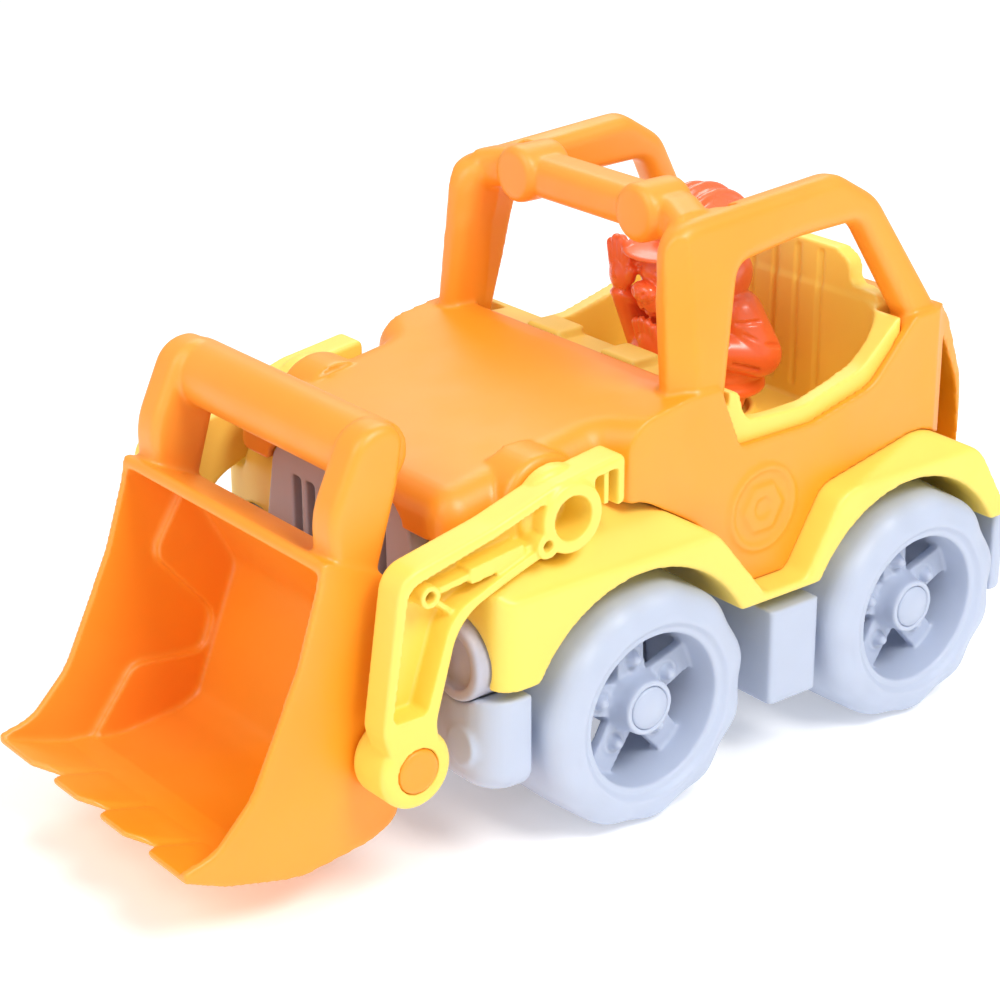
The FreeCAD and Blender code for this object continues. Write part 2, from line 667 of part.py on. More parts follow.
def arm_bosses(body):
    """Round bosses on the hood sides that carry the arms' hollow stubs."""
    y, z = size("arm_pivot_y"), size("arm_pivot_z")
    face = side_sketch(body, "boss_outline", "Dimensions.hood_half_width - 10")
    circle(face, y, z, "Dimensions.pivot_stub_radius + 6")
    boss = pad(body, face, "boss", "Dimensions.arm_inner_x - Dimensions.hood_half_width + 10 - 0.4")
    mirror_features(body, "bosses", [boss])

    def lip(edge):
        at_face = abs(abs(edge.CenterOfMass.x) - size("arm_inner_x") + 0.4) < 0.01
        return at_face and edge.Curve.TypeId == "Part::GeomCircle"
    round_edges(body, "boss_lips", "2.5", lip)
    bore = side_sketch(body, "boss_bore_outline")
    circle(bore, y, z, "Dimensions.pivot_stub_radius + Dimensions.run_gap")
    pocket(body, bore, "boss_bores", "120", symmetric=True)


def rivet_posts(body):
    """Posts inside the shell, down to the fender deck, that grip the push rivets."""
    for name, places, length in (("front", rivet_places()[:2], "49.4"), ("rear", rivet_places()[2:], "53.8")):
        posts = plan_sketch(body, f"{name}_post_outline", "Dimensions.deck_z + 4.2")
        for x, y in places:
            circle(posts, x, y, "Dimensions.rivet_radius + 2.6")
        pad(body, posts, f"{name}_posts", length)
    bores = plan_sketch(body, "post_bore_outline", "Dimensions.deck_z + 4.2")
    for x, y in rivet_places():
        circle(bores, x, y, "Dimensions.rivet_radius + 0.02")
    pocket(body, bores, "post_bores", "20", reverse=True)


def cage_side():
    """One side of the roll cage, drawn upright and then leaned inwards."""
    body = new_body("cage_side")
    base_z = size("cowl_z") + 1
    top = size("cage_top_z") - base_z
    sketch = side_sketch(body, "cage_outline")
    outline(sketch, [(10, -7), (12, top - 4, 10), (24, top - 2.5, 20), (76, top + 1, 11),
                     (91, top - 8, 16), (114, 2), (114, -7), (99, -7), (100.5, 3),
                     (83.5, top - 14, 7), (60, top - 14.5, 20), (36.5, top - 17.5, 6), (28, -7)])
    pad(body, sketch, "cage_frame", "Dimensions.cage_width", symmetric=True)
    half = size("cage_width") / 2

    def tube_edge(edge):
        box = box_of(edge)
        flat = box.XMax - box.XMin < 0.01
        return flat and abs(abs(box.XMax) - half) < 0.01 and box.ZMax > -5
    round_edges(body, "cage_rounding", "4", tube_edge)
    twist = plan_sketch(body, "post_twist_outline", "-10")
    run, across = 18.0, half + 1
    outline(twist, [(across, 8), (across, 19), (half - 6.4, 8)])
    outline(twist, [(-across, 10 + run + 12), (-across, 21), (6.4 - half, 10 + run + 12)])
    pocket(body, twist, "post_twist", "80", reverse=True)
    lean = Rotation(Vector(0, 1, 0), -size("cage_lean"))
    body.Placement = Placement(Vector(size("cab_half_width") - 6.4, 0, base_z), lean)
    return body


def cage_bar():
    """Bar across the front of the roll cage with two round work lamps moulded on it."""
    body = new_body("cage_bar")
    top = size("cage_top_z") - 1.5
    section = side_sketch(body, "bar_section")
    outline(section, [(17, top - 12, 4.5), (31, top - 12, 4.5), (31, top, 4.5), (17, top, 4.5)])
    pad(body, section, "bar", "(Dimensions.cab_half_width - 12) * 2", symmetric=True)
    for side, name in ((RIGHT, "right"), (LEFT, "left")):
        lamp = side_sketch(body, f"work_lamp_{name}_section", f"{side * 26.2}")
        lamp.setExpression(".AttachmentOffset.Base.y", "Dimensions.cage_top_z - 7.2")
        outline(lamp, [(15, 0), (15, 8.4, 2.6), (32, 8.4, 3), (32, 0)])
        revolve(body, lamp, f"work_lamp_{name}")
    return body


def emblem(body):
    """Plain raised ring around a hexagon nut on each cab side."""
    y, z = 41.8, 79.7
    for side, reverse in ((LEFT, False), (RIGHT, True)):
        offset = f"{side} * (Dimensions.cab_half_width - 0.3)"
        ring = side_sketch(body, "emblem_ring_outline", offset)
        circle(ring, y, z, "12.8")
        circle(ring, y, z, "11.2")
        pad(body, ring, "emblem_ring", "1.1", reverse=reverse)
        nut = side_sketch(body, "emblem_nut_outline", offset)
        outline(nut, hexagon(y, z, 7.6))
        circle(nut, y, z, "3.4")
        pad(body, nut, "emblem_nut", "1.1", reverse=reverse)


def hexagon(y, z, reach):
    turns = [math.radians(60 * i) for i in range(6)]
    return [(y + reach * math.cos(a), z + reach * math.sin(a)) for a in turns]


def fused(label, pieces):
    """One moulding made of several drawn solids."""
    fuse = doc.addObject("Part::MultiFuse", label)
    fuse.Shapes = pieces
    fuse.Refine = False
    fuse.Label = label
    doc.recompute()
    return settled(fuse, fuse)


def mirror_copy(label, source):
    copy = doc.addObject("Part::Mirroring", label)
    copy.Source = source
    copy.Normal = Vector(1, 0, 0)
    copy.Label = label
    doc.recompute()
    return settled(copy, copy)


def body_shell():
    shell = shell_body()
    arm_bosses(shell)
    rivet_posts(shell)
    emblem(shell)
    side = cage_side()
    return fused("body_shell", [shell, side, mirror_copy("cage_side_right", side), cage_bar()])


# ---------------------------------------------------------------- cockpit

def cockpit_tub():
    """Yellow cockpit insert: dash, raised rim, floor and the ribbed seat back."""
    body = new_body("cockpit_tub")
    cowl, floor, wall = size("cowl_y"), size("tub_floor_z"), size("wall")
    sill = size("sill_z")
    front, rear = cowl + 4.2, rear_axle_y() + 8.6
    foot = floor - wall
    side = side_sketch(body, "tub_side")
    outline(side, [(front, foot), (front, sill + 16.5, 2), (front + 14, sill + 15.5, 3), (cowl + 21, sill + 6, 6),
                   (cowl + 44, sill + 5, 30), (cowl + 67, sill + 11, 16), (cowl + 81, sill + 23.5, 4),
                   (rear, sill + 24.5), (rear, foot)])
    half = "(Dimensions.cab_half_width - Dimensions.wall - Dimensions.part_gap) * 2"
    pad(body, side, "tub_block", half, symmetric=True)

    feet = plan_sketch(body, "cage_foot_outline", "Dimensions.cowl_z - 7.2")
    tail = plan_sketch(body, "tail_taper_outline", "Dimensions.deck_z")
    outer, foot_x, waist = size("cab_half_width") + 3, 44.0, size("cab_half_width") - wall - 2.2
    for sign in (RIGHT, LEFT):
        for start, end in ((front - 4, front + 10.4), (rear - 7.6, rear + 4)):
            outline(feet, [(sign * foot_x, start), (sign * outer, start), (sign * outer, end), (sign * foot_x, end)])
        outline(tail, [(sign * waist, rear - 7.4), (sign * outer, rear - 7.4),
                       (sign * outer, rear + 4), (sign * waist, rear + 4)])
    pocket(body, feet, "cage_foot_notches", "40", reverse=True)
    pocket(body, tail, "tail_taper", "100", reverse=True)

    back = front_sketch(body, "seat_back_outline", f"{-(rear - 5.5)}")
    outline(back, both_sides([(43, sill + 18), (43, sill + 26.4, 3), (31.5, sill + 27, 3),
                              (30.5, sill + 34, 4), (25, sill + 37, 3)]))
    pad(body, back, "seat_back", "5.5", reverse=True)

    inside = plan_sketch(body, "cabin_outline", "Dimensions.tub_floor_z")
    reach = size("cab_half_width") - wall - size("part_gap") - 4.2
    outline(inside, both_sides([(reach, front + 15, 5), (reach - 2, rear - 6, 12)]))
    pocket(body, inside, "cabin", "80", reverse=True)

    under = plan_sketch(body, "dash_hollow_outline", "Dimensions.tub_floor_z - Dimensions.wall")
    outline(under, both_sides([(reach, front + wall, 3), (reach, front + 15 - wall, 3)]))
    pocket(body, under, "dash_hollow", "26", reverse=True)

    grooves = plan_sketch(body, "seat_groove_outline", "Dimensions.tub_floor_z + 3")
    for i in range(-2, 3):
        x = i * 9.5
        outline(grooves, [(x - 0.8, rear - 6.5), (x + 0.8, rear - 6.5), (x, rear - 5.3)])
    pocket(body, grooves, "seat_grooves", "46", reverse=True)

    pods = plan_sketch(body, "dash_pod_outline", "Dimensions.sill_z + 14")
    for side_sign in (RIGHT, LEFT):
        outline(pods, [(side_sign * 9, front + 2, 1), (side_sign * 24, front + 2, 1),
                       (side_sign * 24, front + 12.5, 2), (side_sign * 9, front + 12.5, 2)])
    pad(body, pods, "dash_pods", "4.4")

    socket = plan_sketch(body, "figure_socket_outline", "Dimensions.tub_floor_z - 2")
    circle(socket, 0, figure_y(), "17")
    circle(socket, 0, figure_y(), "15")
    pad(body, socket, "figure_ring", "4")
    return body


def figure_y():
    return rear_axle_y() - 27


def driver_figure():
    """Stand-up worker figure: round base, stout body, two arms, big muzzle and a hard hat."""
    y, floor = figure_y(), size("tub_floor_z") + size("part_gap")
    solids = [
        cylinder("figure_base", 13.5, 4.0, (0, y, floor)),
        cone("figure_legs", 13.2, 12.0, 14.0, (0, y + 1, floor + 4)),
        cone("figure_body", 14.6, 10.0, 21.0, (0, y + 1.5, floor + 17)),
        ball("figure_head", 12.4, (0, y - 5, floor + 44)),
        ball("figure_muzzle", 8.0, (0, y - 16, floor + 41)),
        cylinder("hat_brim", 17.2, 2.2, (0, y - 7.6, floor + 50.5)),
        ball("hat_crown", 14.6, (0, y - 4, floor + 56.5)),
        limb("right_upper_arm", 5.2, (-11, y, floor + 34), (-17, y - 6, floor + 29)),
        limb("right_forearm", 4.2, (-17, y - 6, floor + 29), (-13, y - 19.5, floor + 46)),
        limb("left_upper_arm", 6.4, (11, y + 3, floor + 34), (16.5, y + 8, floor + 22)),
        limb("left_forearm", 4.6, (16.5, y + 8, floor + 22), (11, y - 10, floor + 24)),
    ]
    return fused("driver_figure", solids)


def cylinder(name, radius, height, place):
    solid = doc.addObject("Part::Cylinder", name)
    solid.Radius = radius
    solid.Height = height
    solid.Placement = Placement(Vector(*place), Rotation())
    return solid


def cone(name, lower, upper, height, place):
    solid = doc.addObject("Part::Cone", name)
    solid.Radius1 = lower
    solid.Radius2 = upper
    solid.Height = height
    solid.Placement = Placement(Vector(*place), Rotation())
    return solid


def ball(name, radius, place):
    solid = doc.addObject("Part::Sphere", name)
    solid.Radius = radius
    solid.Placement = Placement(Vector(*place), Rotation())
    return solid


def limb(name, radius, start, end):
    """A round-ended rod between two points, as a capsule of three primitives."""
    one, two = Vector(*start), Vector(*end)
    rod = cylinder(name + "_rod", radius, (two - one).Length, start)
    rod.Placement = Placement(one, Rotation(Vector(0, 0, 1), two - one))
    return fused(name, [rod, ball(name + "_near", radius, start), ball(name + "_far", radius, end)])


# ---------------------------------------------------------------- arms

def arm_left():
    """Lifting arm: open I-section elbow with a hollow pivot stub, a round end and a tail."""
    body = new_body("arm_left")
    py, pz = size("arm_pivot_y"), size("arm_pivot_z")
    sy, sz = size("scoop_pivot_y"), size("scoop_pivot_z")
    beam = side_sketch(body, "arm_outline", "Dimensions.arm_inner_x")
    outline(beam, [(sy - 7.5, sz + 3), (sy - 10.4, sz + 13, 8), (sy - 4, sz + 55, 8), (py - 25, pz + 3.8, 40),
                   (py - 4, pz + 10.2, 8), (py + 18.7, pz + 13.4, 2), (py + 18.7, pz - 0.8, 1.5),
                   (py + 8, pz - 2), (py + 3, pz - 8.5), (py - 5, pz - 7.6), (py - 22, pz - 13.3, 30),
                   (sy + 14.2, sz + 38.6, 16), (sy + 6.4, sz + 12, 10), (sy + 7.5, sz + 3)])
    pad(body, beam, "beam", "Dimensions.arm_outer_x - Dimensions.arm_inner_x")

    def outer_outline(edge):
        box = box_of(edge)
        return box.XMax - box.XMin < 0.01
    round_edges(body, "beam_rounding", "1.2", outer_outline)

    tray = side_sketch(body, "arm_tray_outline", "Dimensions.arm_inner_x + 2.4")
    outline(tray, [(sy - 7.7, sz + 15.5, 2), (sy - 1.8, sz + 51.6, 5), (py - 25, pz + 0.8, 40),
                   (py - 7.5, pz + 6.2, 1.5), (py - 7.5, pz - 5, 1.5), (py - 22.4, pz - 10.3, 27),
                   (sy + 11.4, sz + 40.6, 13), (sy + 3, sz + 15.5, 2)])
    outline(tray, [(py + 8, pz + 8.6, 1), (py + 16.1, pz + 9.8, 1), (py + 16.1, pz - 4), (py + 8, pz - 4)])
    pocket(body, tray, "arm_tray", "20", reverse=True)

    end = turning_sketch(body, "round_end_section", sy, sz)
    near, far, reach = size("scoop_half_width") + 0.4, size("arm_outer_x"), size("arm_end_radius")
    outline(end, [(near, 0), (near, reach, 2.6), (far, reach, 2.6), (far, 0)])
    revolve(body, end, "round_end")
    barrel = turning_sketch(body, "pivot_barrel_section", py, pz)
    near, far = size("arm_inner_x"), size("arm_inner_x") + 5.4
    outline(barrel, [(near, 0), (near, 12.3, 0.8), (far, 12.3, 2.2), (far, 0)])
    revolve(body, barrel, "pivot_barrel")
    boss = turning_sketch(body, "pivot_boss_section", py, pz)
    near, far, reach = size("arm_inner_x"), size("arm_outer_x") + 1.2, size("pivot_stub_radius") + 1.8
    outline(boss, [(near, 0), (near, reach), (far, reach, 0.8), (far, 0)])
    revolve(body, boss, "pivot_boss")

    arm_ribs(body)
    stub = side_sketch(body, "stub_outline", "Dimensions.arm_inner_x")
    circle(stub, py, pz, "Dimensions.pivot_stub_radius")
    pad(body, stub, "pivot_stub", "18", reverse=True)
    barb = side_sketch(body, "barb_outline", "Dimensions.hood_half_width - 10.4")
    circle(barb, py, pz, "Dimensions.pivot_stub_radius + 0.8")
    pad(body, barb, "snap_barb", "2.2", reverse=True)
    open_bore = side_sketch(body, "open_bore_outline", "Dimensions.arm_outer_x + 1.2")
    circle(open_bore, py, pz, "Dimensions.pivot_stub_radius - 1.8")
    pocket(body, open_bore, "open_bore", "11.5")
    inner_bore = side_sketch(body, "inner_bore_outline", "Dimensions.arm_inner_x - 18")
    circle(inner_bore, py, pz, "Dimensions.pivot_stub_radius - 2.2")
    pocket(body, inner_bore, "inner_bore", "14", reverse=True)
    slit = side_sketch(body, "slit_outline", "Dimensions.arm_inner_x - 18")
    outline(slit, [(py - 12, pz - 1), (py + 12, pz - 1), (py + 12, pz + 1), (py - 12, pz + 1)])
    pocket(body, slit, "snap_slit", "9", reverse=True)

    pin_hole = side_sketch(body, "pin_hole_outline", "Dimensions.arm_outer_x + 2")
    circle(pin_hole, sy, sz, "Dimensions.scoop_pin_radius + Dimensions.run_gap")
    pocket(body, pin_hole, "pin_hole", "30")
    return body


def arm_ribs(body):
    """Moulded ribs in the tray: a ring at the elbow, a small boss and a mock lift cylinder."""
    py, pz = size("arm_pivot_y"), size("arm_pivot_z")
    elbow = Vector(size("scoop_pivot_y") + 5.4, size("scoop_pivot_z") + 47.1, 0)
    small = Vector(py - 8.4, pz - 5.6, 0)
    floor = "Dimensions.arm_inner_x + 2"
    ribs = [
        ("lift_rod", elbow, small, 1.9, "6.2"),
        ("lift_barrel", elbow + (small - elbow) * 0.36, elbow + (small - elbow) * 0.84, 4.4, "6.6"),
        ("elbow_rib", elbow, elbow + Vector(9.5, -8.2, 0), 1.6, "5.6"),
    ]
    for name, start, end, width, depth in ribs:
        sketch = side_sketch(body, name + "_outline", floor)
        outline(sketch, strip(start, end, width))
        pad(body, sketch, name, depth)
    for name, place, radius, depth in (("elbow_ring", elbow, "3.1", "7.4"), ("small_boss", small, "3.6", "9.2")):
        sketch = side_sketch(body, name + "_outline", floor)
        circle(sketch, place.x, place.y, radius)
        pad(body, sketch, name, depth)
        hole = side_sketch(body, name + "_hole_outline", floor)
        circle(hole, place.x, place.y, "1.6")
        pocket(body, hole, name + "_hole", "20", reverse=True)
    tail = side_sketch(body, "tail_rib_outline", floor)
    outline(tail, [(py + 12, pz), (py + 13.5, pz), (py + 13.5, pz + 9.8), (py + 12, pz + 9.8)])
    pad(body, tail, "tail_rib", "7")


def strip(start, end, width):
    """Corners of a straight bar between two points of a sketch."""
    run = (end - start).normalize()
    aside = Vector(-run.y, run.x, 0) * (width / 2)
    return [(point.x, point.y) for point in (start - aside, end - aside, end + aside, start + aside)]


# ---------------------------------------------------------------- scoop

def scoop_pan():
    """Scoop with stepped inner walls, four teeth, a hand loop on top and two trunnions."""
    body = new_body("scoop_pan")
    sy, sz = size("scoop_pivot_y"), size("scoop_pivot_z")
    skin = size("scoop_wall")
    lip = sy - 61.4
    side = side_sketch(body, "scoop_side")
    outline(side, [(lip, 24.6), (lip + 12, 19.2, 20), (lip + 34, 13.4, 30), (lip + 57, 16.2, 20), (lip + 64.8, 20, 7),
                   (sy + 18.1, 60, 9), (sy + 2, 91.5, 6), (sy - 16.6, 99.8, 1.5), (sy - 18.2, 92, 30),
                   (sy - 24.5, 73, 60), (sy - 40, 41, 26), (sy - 51.5, 29.6, 14), (lip, 27.4, 0.8)])
    pad(body, side, "scoop_block", "Dimensions.scoop_half_width * 2", symmetric=True)

    hollow = side_sketch(body, "hollow_side")
    floor = [(lip - 10, 31.4), (lip + 12, 22.8, 20), (lip + 34, 17, 30), (lip + 55, 19.4, 14), (lip + 61.6, 22.4, 5)]
    roof = [(sy + 18.1 - skin, 60, 7), (sy + 0.4, 88.6, 4), (sy - 18, 96.6), (sy - 40, 106), (lip - 10, 106)]
    outline(hollow, floor + roof)
    pocket(body, hollow, "hollow", "(Dimensions.scoop_half_width - Dimensions.scoop_wall - 1.8) * 2", symmetric=True)

    wide = side_sketch(body, "wide_front_side")
    outline(wide, [(lip - 10, 30.2), (lip + 12, 21.7, 20), (lip + 19.5, 19.4), (lip + 27, 18.6), (sy - 20, 37.3, 6),
                   (sy + 3.2, 34.6, 5), (sy + 7.6, 46, 7), (sy - 11.4, 69, 6), (sy + 0.4, 87.6), (sy + 0.4, 88.4),
                   (sy - 18, 96.4), (sy - 40, 106), (lip - 10, 106)])
    pocket(body, wide, "wide_front", "(Dimensions.scoop_half_width - Dimensions.scoop_wall + 0.5) * 2",
           symmetric=True)

    notches = plan_sketch(body, "notch_outline", "15")
    pitch = size("tooth_pitch")
    for i in (-1, 0, 1):
        x = i * pitch
        outline(notches, [(x - 8, lip - 2), (x + 8, lip - 2), (x, lip + 6.2, 1.2)])
    half = size("scoop_half_width")
    for sign in (RIGHT, LEFT):
        outline(notches, [(sign * (half - 7), lip - 2), (sign * (half - 7), lip - 0.01), (sign * half, lip - 0.01, 6),
                          (sign * half, lip + 9), (sign * (half + 2), lip + 9), (sign * (half + 2), lip - 2)])
    pocket(body, notches, "notches", "20", reverse=True)
    grooves = [tooth_groove(body, i * pitch) for i in (-1, 0, 1)]
    for groove in grooves:
        if groove.Shape.isNull():
            raise RuntimeError("a tooth groove failed")

    pins = side_sketch(body, "trunnion_outline", "Dimensions.scoop_half_width - 1.5")
    circle(pins, sy, sz, "Dimensions.scoop_pin_radius")
    pin = pad(body, pins, "trunnion", "Dimensions.arm_outer_x - Dimensions.scoop_half_width + 2")
    mirror_features(body, "trunnions", [pin])

    def pin_tip(edge):
        at_tip = abs(abs(edge.CenterOfMass.x) - size("arm_outer_x") - 0.5) < 0.01
        return at_tip and edge.Curve.TypeId == "Part::GeomCircle"
    round_edges(body, "trunnion_rounding", "0.8", pin_tip)
    return body


def handle_leg():
    """Left upright of the scoop's hand loop."""
    body = new_body("handle_leg")
    sy = size("scoop_pivot_y")
    sketch = side_sketch(body, "handle_leg_outline", "Dimensions.scoop_half_width - 6.2")
    outline(sketch, [(sy - 13.0, 96.4), (sy - 13.4, 109, 22), (sy - 3.5, 130.2, 10), (sy + 11, 131.6, 6),
                     (sy + 8, 114, 20), (sy + 0.8, 90.6)])
    pad(body, sketch, "leg", "11", symmetric=True)

    def rim(edge):
        box = box_of(edge)
        return box.XMax - box.XMin < 0.01 and box.ZMax > 98
    round_edges(body, "leg_rounding", "2.8", rim)
    return body


def handle_bar():
    body = new_body("handle_bar")
    sketch = side_sketch(body, "handle_bar_outline")
    circle(sketch, size("scoop_pivot_y") + 5, 121, "9.3")
    pad(body, sketch, "bar", "(Dimensions.scoop_half_width - 6) * 2", symmetric=True)
    return body


def scoop():
    leg = handle_leg()
    return fused("scoop_bucket", [scoop_pan(), leg, mirror_copy("handle_leg_right", leg), handle_bar()])


def tooth_groove(body, x):
    """A shallow groove that fades out up the lip behind a notch."""
    lip = size("scoop_pivot_y") - 61.4
    cutter = body.newObject("PartDesign::SubtractiveCylinder", "tooth_groove")
    cutter.Radius = 4.0
    cutter.Height = 22.5
    start, end = Vector(x, lip - 2, 29.2), Vector(x, lip + 19.5, 23.2)
    cutter.Placement = Placement(start, Rotation(Vector(0, 0, 1), end - start))
    doc.recompute()
    return cutter


# ---------------------------------------------------------------- fasteners

def push_rivets():
    """Four plastic push rivets that pin the chassis, the fenders and the shell together."""
    return compound("push_rivets", [push_rivet(i, x, y) for i, (x, y) in enumerate(rivet_places(), 1)])


def push_rivet(number, x, y):
    body = new_body(f"push_rivet_{number}")
    stem = size("rivet_radius")
    section = sketch_on(body, "rivet_section", "XY_Plane")
    outline(section, [(0.3, 0), (0.3, stem + 1.9, 0.5), (1.9, stem + 1.9), (1.9, stem), (48, stem),
                      (52, stem - 1.2), (52, 0)])
    revolve(body, section, "rivet")
    body.Placement = Placement(Vector(x, y, size("belly_z")), Rotation(Vector(0, 1, 0), -90))
    return body


def compound(label, pieces):
    group = doc.addObject("Part::Compound", label)
    group.Links = pieces
    group.Label = label
    doc.recompute()
    return group


# ---------------------------------------------------------------- assembly

def build_nodes():
    """Every separate piece of the vehicle, keyed by its node name."""
    front, rear = front_axle_y(), rear_axle_y()
    left_arm = arm_left()
    nodes = [
        chassis_pan(), fender_frame(), body_shell(), cockpit_tub(), grille(), driver_figure(),
        headlight("headlight_left", LEFT), headlight("headlight_right", RIGHT),
        left_arm, mirror_copy("arm_right", left_arm), scoop(), push_rivets(),
        axle("front_axle", front), axle("rear_axle", rear),
    ]
    for place, y in (("front", front), ("rear", rear)):
        for name, side in (("left", LEFT), ("right", RIGHT)):
            nodes.append(wheel(f"wheel_{place}_{name}", side, y))
            nodes.append(hub_cap(f"hub_cap_{place}_{name}", side, y))
    return nodes


def check(nodes):
    """Stop if any feature failed or any piece is not a valid solid."""
    for item in doc.Objects:
        if any(word in item.State for word in ("Invalid", "Error")):
            raise RuntimeError(f"{item.Label} failed: {item.State}")
    for node in nodes:
        if node.Shape.isNull() or not node.Shape.isValid():
            raise RuntimeError(f"{node.Label} is not a valid shape")
        if not node.Shape.Solids:
            raise RuntimeError(f"{node.Label} has no solid")


nodes = build_nodes()
doc.recompute()
check(nodes)
os.makedirs("parts", exist_ok=True)
for node in nodes:
    node.Shape.exportStep(f"parts/{node.Label}.step")
    box = node.Shape.BoundBox
    print(f"{node.Label}: {len(node.Shape.Solids)} solid(s), "
          f"x {box.XMin:.1f}..{box.XMax:.1f}, y {box.YMin:.1f}..{box.YMax:.1f}, z {box.ZMin:.1f}..{box.ZMax:.1f}")
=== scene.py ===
"""Looks for the toy front loader: soft moulded edges, plastic surfaces, wheels, driver, light and camera.

Metres, +Z up, -Y is the front (the scoop end), +X is the vehicle's left side.
"""
import json
import math
import bmesh
import bpy
import numpy as np
from mathutils import Matrix, Quaternion, Vector


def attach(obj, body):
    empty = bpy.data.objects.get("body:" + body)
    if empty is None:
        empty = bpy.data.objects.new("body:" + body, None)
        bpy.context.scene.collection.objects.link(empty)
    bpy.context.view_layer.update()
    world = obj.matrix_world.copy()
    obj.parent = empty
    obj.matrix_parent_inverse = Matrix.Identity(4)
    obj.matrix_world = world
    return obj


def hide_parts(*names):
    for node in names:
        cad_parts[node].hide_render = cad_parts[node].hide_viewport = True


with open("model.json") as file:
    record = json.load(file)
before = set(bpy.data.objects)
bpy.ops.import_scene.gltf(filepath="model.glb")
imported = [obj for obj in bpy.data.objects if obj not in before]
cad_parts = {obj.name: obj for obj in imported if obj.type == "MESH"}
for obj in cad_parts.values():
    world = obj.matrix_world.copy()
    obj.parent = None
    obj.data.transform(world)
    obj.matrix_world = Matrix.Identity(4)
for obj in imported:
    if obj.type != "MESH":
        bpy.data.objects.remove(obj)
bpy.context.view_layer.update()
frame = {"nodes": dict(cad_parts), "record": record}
scene = bpy.context.scene
MM = 0.001

# ---------------------------------------------------------------- materials

ORANGE = (1.0, 0.35, 0.018)
YELLOW = (1.0, 0.73, 0.12)
GREY_BLUE = (0.50, 0.56, 0.70)
WARM_GREY = (0.50, 0.50, 0.60)
RED = (0.90, 0.15, 0.03)
# colour of the painted highlight that is screened onto convex edges
EDGE_HIGHLIGHT_TINT = (0.10, 0.09, 0.07, 1)


def plastic(name, colour, roughness=0.42, grain=0.05, mottling=0.03, glow=0.06, coat=0.0):
    """Moulded plastic: faint flow mottling, worn roughness, a fine grain and a painted highlight screened
    onto convex edges.
    """
    material = bpy.data.materials.new(name)
    material.use_nodes = True
    material.diffuse_color = (*colour, 1)
    nodes, links = material.node_tree.nodes, material.node_tree.links
    shader = nodes["Principled BSDF"]
    place = nodes.new("ShaderNodeTexCoord").outputs["Object"]

    def noise_at(scale, detail=3.0, distortion=0.0):
        node = nodes.new("ShaderNodeTexNoise")
        node.inputs["Scale"].default_value = scale
        node.inputs["Detail"].default_value = detail
        node.inputs["Distortion"].default_value = distortion
        links.new(place, node.inputs["Vector"])
        return node.outputs["Fac"]

    def ranged(source, low, high, start=0.3, end=0.7):
        node = nodes.new("ShaderNodeMapRange")
        node.inputs["From Min"].default_value = start
        node.inputs["From Max"].default_value = end
        node.inputs["To Min"].default_value = low
        node.inputs["To Max"].default_value = high
        links.new(source, node.inputs["Value"])
        return node.outputs["Result"]

    tint = nodes.new("ShaderNodeHueSaturation")
    tint.inputs["Color"].default_value = (*colour, 1)
    links.new(ranged(noise_at(22, 4, 0.6), 1 - mottling, 1 + mottling), tint.inputs["Value"])
    links.new(ranged(noise_at(9, 2), 0.98, 1.02), tint.inputs["Saturation"])

    # painted highlight: high-pointiness convex edges are screened paler, standing in for light catching the
    # rounded rims
    edge = nodes.new("ShaderNodeNewGeometry").outputs["Pointiness"]
    pale = nodes.new("ShaderNodeMix")
    pale.data_type = "RGBA"
    pale.blend_type = "SCREEN"
    pale.inputs["B"].default_value = EDGE_HIGHLIGHT_TINT
    links.new(ranged(edge, 0.0, 0.55, 0.52, 0.62), pale.inputs["Factor"])
    links.new(tint.outputs["Color"], pale.inputs["A"])
    links.new(pale.outputs["Result"], shader.inputs["Base Color"])

    links.new(ranged(noise_at(60, 5), roughness - 0.05, roughness + 0.07), shader.inputs["Roughness"])
    bump = nodes.new("ShaderNodeBump")
    bump.inputs["Strength"].default_value = grain
    bump.inputs["Distance"].default_value = 0.15 * MM
    links.new(noise_at(2600, 2), bump.inputs["Height"])
    wave = nodes.new("ShaderNodeBump")
    wave.inputs["Strength"].default_value = 0.05
    wave.inputs["Distance"].default_value = 0.6 * MM
    links.new(noise_at(55, 2), wave.inputs["Height"])
    links.new(wave.outputs["Normal"], bump.inputs["Normal"])
    links.new(bump.outputs["Normal"], shader.inputs["Normal"])

    shader.inputs["IOR"].default_value = 1.46
    shader.inputs["Specular IOR Level"].default_value = 0.85
    shader.inputs["Subsurface Weight"].default_value = glow
    shader.inputs["Subsurface Radius"].default_value = (1.0, 0.55, 0.3)
    shader.inputs["Subsurface Scale"].default_value = 2.5 * MM
    shader.inputs["Coat Weight"].default_value = coat
    shader.inputs["Coat Roughness"].default_value = 0.22
    return material


orange = plastic("orange_satin", ORANGE)
yellow = plastic("yellow_satin", YELLOW, roughness=0.44)
wheel_grey = plastic("wheel_grey", GREY_BLUE, roughness=0.48, grain=0.08)
grey = plastic("warm_grey", WARM_GREY, roughness=0.46, grain=0.07)
vinyl = plastic("red_vinyl", RED, roughness=0.30, grain=0.02, glow=0.12, coat=0.35)

FINISH = {
    "chassis_pan": wheel_grey, "grille": grey, "headlight_left": grey, "headlight_right": grey,
    "front_axle": grey, "rear_axle": grey, "fender_frame": yellow, "cockpit_tub": yellow,
    "arm_left": yellow, "arm_right": yellow, "body_shell": orange, "scoop_bucket": orange,
    "push_rivets": orange, "driver_figure": vinyl,
}


def finish_of(node):
    return FINISH.get(node, wheel_grey)


def paint(piece, material):
    piece.data.materials.clear()
    piece.data.materials.append(material)


# ---------------------------------------------------------------- soft moulded copies of the CAD pieces

BODY_OF = {node: body for body, nodes in frame["record"]["behaviour"]["bodies"].items() for node in nodes}
WELD_DISTANCE = 0.002


def new_piece(name, mesh):
    piece = bpy.data.objects.new(name, mesh)
    scene.collection.objects.link(piece)
    return piece


